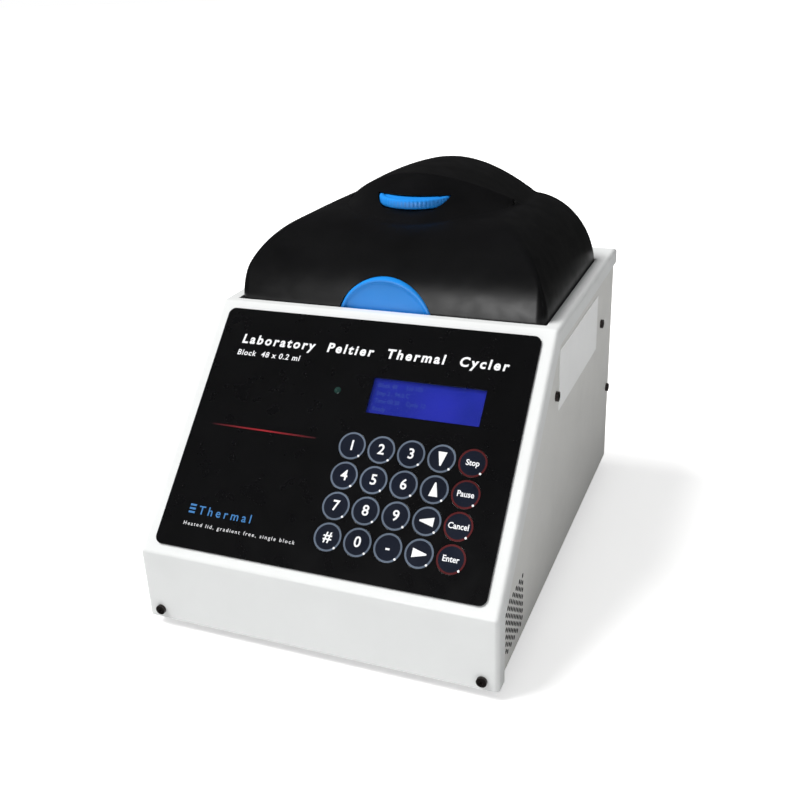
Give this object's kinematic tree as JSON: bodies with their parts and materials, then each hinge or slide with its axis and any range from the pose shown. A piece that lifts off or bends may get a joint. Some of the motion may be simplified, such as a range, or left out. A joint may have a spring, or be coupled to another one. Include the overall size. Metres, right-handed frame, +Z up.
{
  "type": "thermal cycler",
  "caption": "Bench-top thermal cycler: wedge-shaped white metal case with a sloping black keypad and display, and a domed black hinged lid with a blue pressure wheel and latch button.",
  "frame": {"origin": "on the bench, under the centre of the case's footprint", "axes": "+Z up, +X to the user's right, front of the instrument towards -Y"},
  "size_m": [0.2434, 0.3271, 0.2675],
  "materials": {
    "case_paint": "satin",
    "side_paint": "satin",
    "zinc_sheet": "satin",
    "foot_rubber": "matte",
    "overlay": "satin",
    "window": "clear",
    "display_blue": "gloss",
    "circuit_board": "satin",
    "block_aluminium": "satin",
    "peltier_ceramic": "matte",
    "dark_plastic": "matte",
    "rocker_red": "gloss",
    "dark_screw": "satin",
    "label_white": "matte",
    "plain_steel": "satin",
    "lid_black": "satin",
    "wheel_blue": "satin"
  },
  "bodies": {
    "case": {"front_cover": "case_paint", "side_panel_left": "side_paint", "side_panel_right": "side_paint", "base_plate": "zinc_sheet", "rear_panel": "side_paint", "feet": "foot_rubber", "keypad_overlay": "overlay", "display_window": "window", "display_module": "display_blue", "control_board": "circuit_board", "power_supply": "zinc_sheet", "sample_block": "block_aluminium", "peltier_modules": "peltier_ceramic", "heat_sink": "block_aluminium", "block_frame": "dark_plastic", "fan_frame": "dark_plastic", "power_inlet": "dark_plastic", "case_screws": "dark_screw", "label_plates": "label_white", "strike_plate": "plain_steel", "hinge_brackets": "plain_steel", "hinge_pins": "plain_steel"},
    "lid": {"lid_shell": "lid_black", "lid_inner_cover": "dark_plastic", "lid_bridge": "zinc_sheet", "guide_pins": "plain_steel", "latch_bracket": "zinc_sheet", "latch_pin": "plain_steel", "latch_spring": "plain_steel", "hinge_leaves": "plain_steel"},
    "latch_button": {"latch_button": "wheel_blue"},
    "latch_hook": {"latch_hook": "plain_steel"},
    "pressure_wheel": {"pressure_wheel": "wheel_blue", "pressure_spindle": "plain_steel"},
    "heated_plate": {"heated_plate": "block_aluminium", "pressure_plate": "zinc_sheet", "plate_springs": "plain_steel"},
    "fan_rotor": {"fan_rotor": "dark_plastic"},
    "power_rocker": {"power_rocker": "rocker_red"},
    "key_hash": {"key_hash": "overlay"},
    "key_zero": {"key_zero": "overlay"},
    "key_dash": {"key_dash": "overlay"},
    "key_right": {"key_right": "overlay"},
    "key_enter": {"key_enter": "overlay"},
    "key_seven": {"key_seven": "overlay"},
    "key_eight": {"key_eight": "overlay"},
    "key_nine": {"key_nine": "overlay"},
    "key_left": {"key_left": "overlay"},
    "key_cancel": {"key_cancel": "overlay"},
    "key_four": {"key_four": "overlay"},
    "key_five": {"key_five": "overlay"},
    "key_six": {"key_six": "overlay"},
    "key_up": {"key_up": "overlay"},
    "key_pause": {"key_pause": "overlay"},
    "key_one": {"key_one": "overlay"},
    "key_two": {"key_two": "overlay"},
    "key_three": {"key_three": "overlay"},
    "key_down": {"key_down": "overlay"},
    "key_stop": {"key_stop": "overlay"}
  },
  "joints": [
    {"name": "lid_hinge", "type": "hinge", "parent": "case", "child": "lid", "pos_m": [0, 0.133, 0.195], "axis": [-1, 0, 0], "range_deg": [0, 92]},
    {"name": "latch_press", "type": "slide", "parent": "lid", "child": "latch_button", "axis": [0, 1, 0], "range_m": [0, 0.0025], "stiffness_N_per_m": 400},
    {"name": "hook_swing", "type": "hinge", "parent": "lid", "child": "latch_hook", "pos_m": [0, -0.005, 0.208], "axis": [1, 0, 0], "range_deg": [0, 10.24]},
    {"name": "wheel_turn", "type": "hinge", "parent": "lid", "child": "pressure_wheel", "pos_m": [0, 0.047, 0.25], "axis": [0, 0, 1], "range_deg": [0, 540]},
    {"name": "plate_lift", "type": "slide", "parent": "lid", "child": "heated_plate", "axis": [0, 0, 1], "range_m": [0, 0.006]},
    {"name": "fan_spin", "type": "hinge", "parent": "case", "child": "fan_rotor", "pos_m": [0, 0.14, 0.106], "axis": [0, 1, 0], "continuous": true},
    {"name": "rocker_tilt", "type": "hinge", "parent": "case", "child": "power_rocker", "pos_m": [0.085, 0.1609, 0.072], "axis": [-1, 0, 0], "range_deg": [0, 16]},
    {"name": "press_hash", "type": "slide", "parent": "case", "child": "key_hash", "axis": [0, 0.7071, -0.7071], "range_m": [0, 0.0004], "stiffness_N_per_m": 3000},
    {"name": "press_zero", "type": "slide", "parent": "case", "child": "key_zero", "axis": [0, 0.7071, -0.7071], "range_m": [0, 0.0004], "stiffness_N_per_m": 3000},
    {"name": "press_dash", "type": "slide", "parent": "case", "child": "key_dash", "axis": [0, 0.7071, -0.7071], "range_m": [0, 0.0004], "stiffness_N_per_m": 3000},
    {"name": "press_right", "type": "slide", "parent": "case", "child": "key_right", "axis": [0, 0.7071, -0.7071], "range_m": [0, 0.0004], "stiffness_N_per_m": 3000},
    {"name": "press_enter", "type": "slide", "parent": "case", "child": "key_enter", "axis": [0, 0.7071, -0.7071], "range_m": [0, 0.0004], "stiffness_N_per_m": 3000},
    {"name": "press_seven", "type": "slide", "parent": "case", "child": "key_seven", "axis": [0, 0.7071, -0.7071], "range_m": [0, 0.0004], "stiffness_N_per_m": 3000},
    {"name": "press_eight", "type": "slide", "parent": "case", "child": "key_eight", "axis": [0, 0.7071, -0.7071], "range_m": [0, 0.0004], "stiffness_N_per_m": 3000},
    {"name": "press_nine", "type": "slide", "parent": "case", "child": "key_nine", "axis": [0, 0.7071, -0.7071], "range_m": [0, 0.0004], "stiffness_N_per_m": 3000},
    {"name": "press_left", "type": "slide", "parent": "case", "child": "key_left", "axis": [0, 0.7071, -0.7071], "range_m": [0, 0.0004], "stiffness_N_per_m": 3000},
    {"name": "press_cancel", "type": "slide", "parent": "case", "child": "key_cancel", "axis": [0, 0.7071, -0.7071], "range_m": [0, 0.0004], "stiffness_N_per_m": 3000},
    {"name": "press_four", "type": "slide", "parent": "case", "child": "key_four", "axis": [0, 0.7071, -0.7071], "range_m": [0, 0.0004], "stiffness_N_per_m": 3000},
    {"name": "press_five", "type": "slide", "parent": "case", "child": "key_five", "axis": [0, 0.7071, -0.7071], "range_m": [0, 0.0004], "stiffness_N_per_m": 3000},
    {"name": "press_six", "type": "slide", "parent": "case", "child": "key_six", "axis": [0, 0.7071, -0.7071], "range_m": [0, 0.0004], "stiffness_N_per_m": 3000},
    {"name": "press_up", "type": "slide", "parent": "case", "child": "key_up", "axis": [0, 0.7071, -0.7071], "range_m": [0, 0.0004], "stiffness_N_per_m": 3000},
    {"name": "press_pause", "type": "slide", "parent": "case", "child": "key_pause", "axis": [0, 0.7071, -0.7071], "range_m": [0, 0.0004], "stiffness_N_per_m": 3000},
    {"name": "press_one", "type": "slide", "parent": "case", "child": "key_one", "axis": [0, 0.7071, -0.7071], "range_m": [0, 0.0004], "stiffness_N_per_m": 3000},
    {"name": "press_two", "type": "slide", "parent": "case", "child": "key_two", "axis": [0, 0.7071, -0.7071], "range_m": [0, 0.0004], "stiffness_N_per_m": 3000},
    {"name": "press_three", "type": "slide", "parent": "case", "child": "key_three", "axis": [0, 0.7071, -0.7071], "range_m": [0, 0.0004], "stiffness_N_per_m": 3000},
    {"name": "press_down", "type": "slide", "parent": "case", "child": "key_down", "axis": [0, 0.7071, -0.7071], "range_m": [0, 0.0004], "stiffness_N_per_m": 3000},
    {"name": "press_stop", "type": "slide", "parent": "case", "child": "key_stop", "axis": [0, 0.7071, -0.7071], "range_m": [0, 0.0004], "stiffness_N_per_m": 3000}
  ],
  "couplings": [
    {"joint": "hook_swing", "follows": "latch_press", "rad_per_m": 71.4},
    {"joint": "wheel_turn", "follows": "plate_lift", "rad_per_m": 1570.8}
  ]
}
